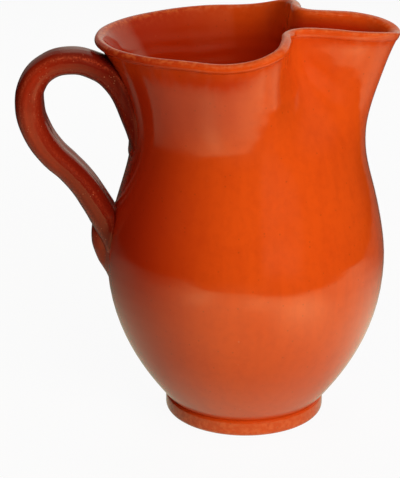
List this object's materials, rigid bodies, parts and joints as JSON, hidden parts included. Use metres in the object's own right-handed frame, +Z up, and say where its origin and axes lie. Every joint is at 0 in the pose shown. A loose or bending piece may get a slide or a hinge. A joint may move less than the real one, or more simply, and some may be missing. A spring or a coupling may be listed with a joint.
{
  "type": "jug",
  "caption": "Glazed earthenware pouring jug with a round belly, flared neck, rolled lip pinched into a wide spout, flat foot and a pulled strap handle.",
  "frame": {"origin": "centre of the foot's flat underside, on the thrown axis", "axes": "+Z up along the thrown axis, +X towards the pouring spout, handle towards -X, +Y to the left of the spout"},
  "size_m": [0.1866, 0.1406, 0.2078],
  "materials": {
    "glaze_foot": "clear glossy glaze over red earthenware",
    "glaze_body": "clear glossy glaze over red earthenware, fine speckle",
    "glaze_lip": "clear glossy glaze over red earthenware, worn thin on the edge",
    "glaze_spout": "clear glossy glaze over red earthenware, fine speckle",
    "glaze_handle": "clear glossy glaze over red earthenware, darker and speckled"
  },
  "bodies": {
    "root": {"foot": "glaze_foot", "body": "glaze_body", "lip": "glaze_lip", "spout": "glaze_spout", "handle": "glaze_handle", "handle_root_upper": "glaze_handle", "handle_root_lower": "glaze_handle"}
  },
  "joints": []
}
